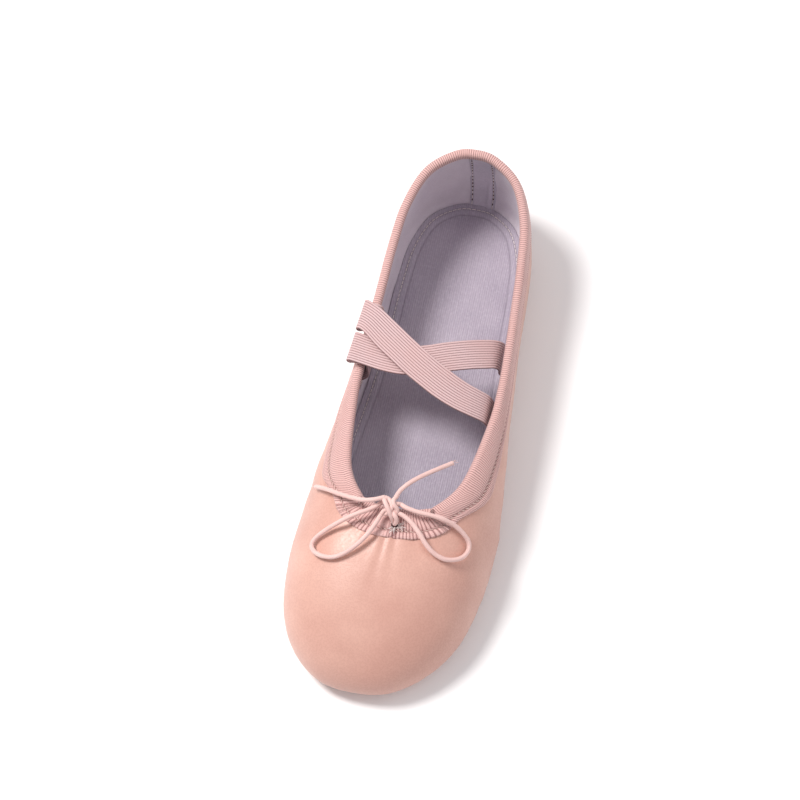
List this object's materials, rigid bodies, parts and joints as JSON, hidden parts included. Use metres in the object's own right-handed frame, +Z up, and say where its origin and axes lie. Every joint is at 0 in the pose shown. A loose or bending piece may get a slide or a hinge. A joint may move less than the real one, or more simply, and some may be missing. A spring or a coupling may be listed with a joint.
{
  "type": "ballet slipper",
  "caption": "Soft ballet slipper: leather upper over a suede sole patch, ribbed drawstring binding tied in a small bow, and crossed elastic straps over the opening.",
  "frame": {"origin": "on the floor under the middle of the shoe's length and width", "axes": "+Z up, +Y towards the heel, so the toe points along -Y, +X to the right when the shoe is seen from the toe"},
  "size_m": [0.0839, 0.24, 0.0571],
  "materials": {
    "outsole_suede": "napped tan suede",
    "leather": "fine-grained pink leather, soft sheen",
    "lining_cotton": "plain-weave cotton",
    "heel_tape": "woven cotton tape",
    "sock_cotton": "woven cotton over foam",
    "foam": "matte foam",
    "insole_board": "leatherboard",
    "thread": "waxed thread",
    "binding_knit": "ribbed knit",
    "cord_elastic": "covered round elastic",
    "strap_elastic": "ribbed woven elastic"
  },
  "bodies": {
    "rearfoot": {"outsole_rear": "outsole_suede", "quarter_right": "leather", "quarter_left": "leather", "heel_strip": "leather", "upper_flex_right": "leather", "upper_flex_left": "leather", "lining_right": "lining_cotton", "lining_left": "lining_cotton", "lining_flex_right": "lining_cotton", "lining_flex_left": "lining_cotton", "heel_tape": "heel_tape", "sock_liner_rear": "sock_cotton", "insole_flex": "sock_cotton", "foam_rear": "foam", "insole_board_rear": "insole_board", "sole_thread_rear": "thread", "strap_stitching": "thread", "binding_rear": "binding_knit", "binding_flex_right": "binding_knit", "binding_flex_left": "binding_knit", "drawcord": "cord_elastic", "strap_front_left_end": "strap_elastic", "strap_front_right_end": "strap_elastic", "strap_back_left_end": "strap_elastic", "strap_back_right_end": "strap_elastic"},
    "forefoot": {"outsole_forefoot": "outsole_suede", "insole_board_forefoot": "insole_board", "sole_thread_forefoot": "thread", "foam_forefoot": "foam", "sock_liner_forefoot": "sock_cotton", "vamp": "leather", "toe_lining": "lining_cotton", "binding_throat": "binding_knit", "bow_knot": "cord_elastic"},
    "strap_front": {"strap_front_span": "strap_elastic"},
    "strap_back": {"strap_back_span": "strap_elastic"},
    "loop_left": {"bow_loop_left": "cord_elastic"},
    "loop_right": {"bow_loop_right": "cord_elastic"},
    "end_left": {"cord_end_left": "cord_elastic"},
    "end_right": {"cord_end_right": "cord_elastic"}
  },
  "joints": [
    {"name": "forefoot_flex", "type": "hinge", "parent": "rearfoot", "child": "forefoot", "pos_m": [0, -0.045, 0], "axis": [-1, 0, 0], "range_deg": [-15, 35], "stiffness_Nm_per_rad": 0.4, "deforming": ["insole_flex", "upper_flex_right", "upper_flex_left", "lining_flex_right", "lining_flex_left", "binding_flex_right", "binding_flex_left", "drawcord"]},
    {"name": "strap_front_lift", "type": "slide", "parent": "rearfoot", "child": "strap_front", "axis": [0, 0, 1], "range_m": [0, 0.03], "stiffness_N_per_m": 150},
    {"name": "strap_back_lift", "type": "slide", "parent": "rearfoot", "child": "strap_back", "axis": [0, 0, 1], "range_m": [0, 0.03], "stiffness_N_per_m": 150},
    {"name": "loop_left_swing", "type": "hinge", "parent": "forefoot", "child": "loop_left", "pos_m": [-0.0052, -0.0541, 0.0487], "axis": [0, 1, 0], "range_deg": [0, 60]},
    {"name": "loop_right_swing", "type": "hinge", "parent": "forefoot", "child": "loop_right", "pos_m": [0.0024, -0.0538, 0.0487], "axis": [0, -1, 0], "range_deg": [0, 60]},
    {"name": "end_left_swing", "type": "hinge", "parent": "forefoot", "child": "end_left", "pos_m": [-0.0042, -0.051, 0.0512], "axis": [0.2071, 0.9783, 0], "range_deg": [0, 60]},
    {"name": "end_right_swing", "type": "hinge", "parent": "forefoot", "child": "end_right", "pos_m": [0, -0.0503, 0.0508], "axis": [0.7682, -0.6402, 0], "range_deg": [0, 60]}
  ],
  "couplings": [
    {"joint": "strap_back_lift", "follows": "strap_front_lift", "ratio": 1}
  ]
}
